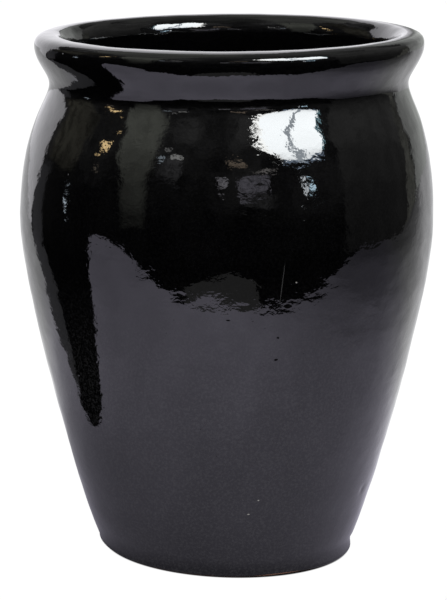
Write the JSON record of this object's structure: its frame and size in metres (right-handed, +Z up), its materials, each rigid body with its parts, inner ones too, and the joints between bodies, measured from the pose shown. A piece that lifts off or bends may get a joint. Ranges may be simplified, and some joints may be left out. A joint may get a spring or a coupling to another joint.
{
  "type": "glazed clay jar",
  "caption": "Tall open clay jar with a full belly, a pinched neck and a thick rolled rim, under a black mirror-gloss glaze, with a narrow bare foot and a drain hole.",
  "frame": {"origin": "centre of the foot, on the plane that the jar stands on", "axes": "+Z up along the jar's axis; the jar is round, and -Y is the side that faces the viewer"},
  "size_m": [0.4109, 0.411, 0.52],
  "materials": {
    "clay": "fired reddish brown earthenware, matt and slightly gritty",
    "slip": "fired luting slip, finer and a little lighter than the clay",
    "glaze": "black mirror gloss with slight orange peel, pinholes and specks"
  },
  "bodies": {
    "root": {"base_slab": "clay", "floor_coil": "clay", "lower_wall": "clay", "belly_wall": "clay", "shoulder_wall": "clay", "neck_collar": "clay", "rim_roll": "clay", "base_slip": "slip", "lower_slip": "slip", "upper_slip": "slip", "neck_slip": "slip", "rim_slip": "slip", "outer_glaze": "glaze", "inner_glaze": "glaze"}
  },
  "joints": []
}
